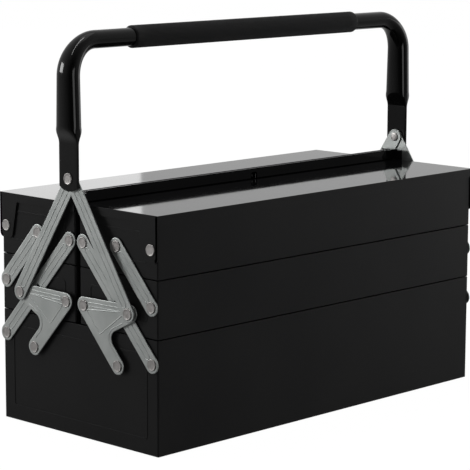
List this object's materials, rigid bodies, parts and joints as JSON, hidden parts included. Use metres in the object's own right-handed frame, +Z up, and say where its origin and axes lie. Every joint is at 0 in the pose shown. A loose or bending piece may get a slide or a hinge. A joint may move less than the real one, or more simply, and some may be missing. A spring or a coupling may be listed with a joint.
{
  "type": "cantilever tool box",
  "caption": "Steel cantilever tool box: trays spread apart on riveted links worked by a carrying handle, under hinged lids.",
  "frame": {"origin": "on the floor, under the middle of the closed box", "axes": "+X along the box to its right end, +Y to the back, +Z up; the front is the -Y side"},
  "size_m": [0.4534, 0.203, 0.3567],
  "materials": {
    "painted_steel": "satin charcoal powder coat",
    "zinc_plated_steel": "satin zinc plate",
    "rivet_steel": "bright set rivet heads",
    "handle_enamel": "gloss black enamel",
    "grip_rubber": "matt ribbed rubber"
  },
  "bodies": {
    "base": {"base_tray": "painted_steel", "left_base_rivets": "rivet_steel", "right_base_rivets": "rivet_steel"},
    "front_long_links": {"left_front_long_link": "zinc_plated_steel", "right_front_long_link": "zinc_plated_steel"},
    "front_short_links": {"left_front_short_link": "zinc_plated_steel", "right_front_short_link": "zinc_plated_steel"},
    "front_plates": {"left_front_plate": "zinc_plated_steel", "right_front_plate": "zinc_plated_steel"},
    "front_middle": {"front_middle_tray": "painted_steel", "front_middle_rivets": "rivet_steel"},
    "front_upper": {"front_upper_tray": "painted_steel", "front_upper_floor": "painted_steel", "front_upper_rivets": "rivet_steel", "front_lid_pivots": "rivet_steel"},
    "front_lid_body": {"front_lid_panel": "painted_steel", "front_lid_flange": "painted_steel", "front_lid_skirt": "painted_steel"},
    "front_arms": {"left_front_arm": "zinc_plated_steel", "right_front_arm": "zinc_plated_steel", "front_arm_rivets": "rivet_steel"},
    "back_long_links": {"left_back_long_link": "zinc_plated_steel", "right_back_long_link": "zinc_plated_steel"},
    "back_short_links": {"left_back_short_link": "zinc_plated_steel", "right_back_short_link": "zinc_plated_steel"},
    "back_plates": {"left_back_plate": "zinc_plated_steel", "right_back_plate": "zinc_plated_steel"},
    "back_middle": {"back_middle_tray": "painted_steel", "back_middle_rivets": "rivet_steel"},
    "back_upper": {"back_upper_tray": "painted_steel", "back_upper_floor": "painted_steel", "back_upper_rivets": "rivet_steel", "back_lid_pivots": "rivet_steel"},
    "back_lid_body": {"back_lid_panel": "painted_steel", "back_lid_flange": "painted_steel", "back_lid_skirt": "painted_steel"},
    "back_arms": {"left_back_arm": "zinc_plated_steel", "right_back_arm": "zinc_plated_steel", "back_arm_rivets": "rivet_steel"},
    "handle_joint": {"handle_rivets": "rivet_steel"},
    "handle": {"handle_tube": "handle_enamel", "handle_grip": "grip_rubber"}
  },
  "joints": [
    {"name": "trays_unfold", "type": "hinge", "parent": "base", "child": "front_long_links", "pos_m": [0, -0.094, 0.0797], "axis": [1, 0, 0], "range_deg": [0, 84.51]},
    {"name": "front_middle_level", "type": "hinge", "parent": "front_long_links", "child": "front_middle", "pos_m": [0, -0.0513, 0.1267], "axis": [1, 0, 0], "range_deg": [-84.51, 0]},
    {"name": "front_upper_level", "type": "hinge", "parent": "front_long_links", "child": "front_upper", "pos_m": [0, -0.0086, 0.1737], "axis": [1, 0, 0], "range_deg": [-84.51, 0]},
    {"name": "front_short_links_turn", "type": "hinge", "parent": "front_middle", "child": "front_short_links", "pos_m": [0, -0.0933, 0.1286], "axis": [1, 0, 0], "range_deg": [0, 84.51]},
    {"name": "front_plates_turn", "type": "hinge", "parent": "base", "child": "front_plates", "pos_m": [0, -0.054, 0.0726], "axis": [1, 0, 0], "range_deg": [0, 84.51]},
    {"name": "front_lid_open", "type": "hinge", "parent": "front_upper", "child": "front_lid_body", "pos_m": [0, -0.0929, 0.1775], "axis": [1, 0, 0], "range_deg": [0, 135]},
    {"name": "back_long_links_turn", "type": "hinge", "parent": "base", "child": "back_long_links", "pos_m": [0, 0.094, 0.0797], "axis": [-1, 0, 0], "range_deg": [0, 84.51]},
    {"name": "back_middle_level", "type": "hinge", "parent": "back_long_links", "child": "back_middle", "pos_m": [0, 0.0513, 0.1267], "axis": [-1, 0, 0], "range_deg": [-84.51, 0]},
    {"name": "back_upper_level", "type": "hinge", "parent": "back_long_links", "child": "back_upper", "pos_m": [0, 0.0086, 0.1737], "axis": [-1, 0, 0], "range_deg": [-84.51, 0]},
    {"name": "back_short_links_turn", "type": "hinge", "parent": "back_middle", "child": "back_short_links", "pos_m": [0, 0.0933, 0.1286], "axis": [-1, 0, 0], "range_deg": [0, 84.51]},
    {"name": "back_plates_turn", "type": "hinge", "parent": "base", "child": "back_plates", "pos_m": [0, 0.054, 0.0726], "axis": [-1, 0, 0], "range_deg": [0, 84.51]},
    {"name": "back_lid_open", "type": "hinge", "parent": "back_upper", "child": "back_lid_body", "pos_m": [0, 0.0929, 0.1775], "axis": [-1, 0, 0], "range_deg": [0, 135]},
    {"name": "handle_drop", "type": "slide", "parent": "base", "child": "handle_joint", "axis": [0, 0, -1], "range_m": [0, 0.09051]},
    {"name": "front_arms_spread", "type": "hinge", "parent": "handle_joint", "child": "front_arms", "pos_m": [0, 0, 0.229], "axis": [-1, 0, 0], "range_deg": [0, 20.1]},
    {"name": "back_arms_spread", "type": "hinge", "parent": "handle_joint", "child": "back_arms", "pos_m": [0, 0, 0.229], "axis": [1, 0, 0], "range_deg": [0, 20.1]},
    {"name": "handle_swing", "type": "hinge", "parent": "handle_joint", "child": "handle", "pos_m": [0, 0, 0.229], "axis": [1, 0, 0], "range_deg": [-75, 75]}
  ],
  "couplings": [
    {"joint": "front_middle_level", "follows": "trays_unfold", "ratio": -1},
    {"joint": "front_upper_level", "follows": "trays_unfold", "ratio": -1},
    {"joint": "front_short_links_turn", "follows": "trays_unfold", "ratio": 1},
    {"joint": "front_plates_turn", "follows": "trays_unfold", "ratio": 1},
    {"joint": "back_long_links_turn", "follows": "trays_unfold", "ratio": 1},
    {"joint": "back_middle_level", "follows": "trays_unfold", "ratio": -1},
    {"joint": "back_upper_level", "follows": "trays_unfold", "ratio": -1},
    {"joint": "back_short_links_turn", "follows": "trays_unfold", "ratio": 1},
    {"joint": "back_plates_turn", "follows": "trays_unfold", "ratio": 1},
    {"joint": "handle_drop", "follows": "trays_unfold", "m_per_rad": 0.061361},
    {"joint": "front_arms_spread", "follows": "trays_unfold", "ratio": 0.2377},
    {"joint": "back_arms_spread", "follows": "trays_unfold", "ratio": 0.2377}
  ]
}
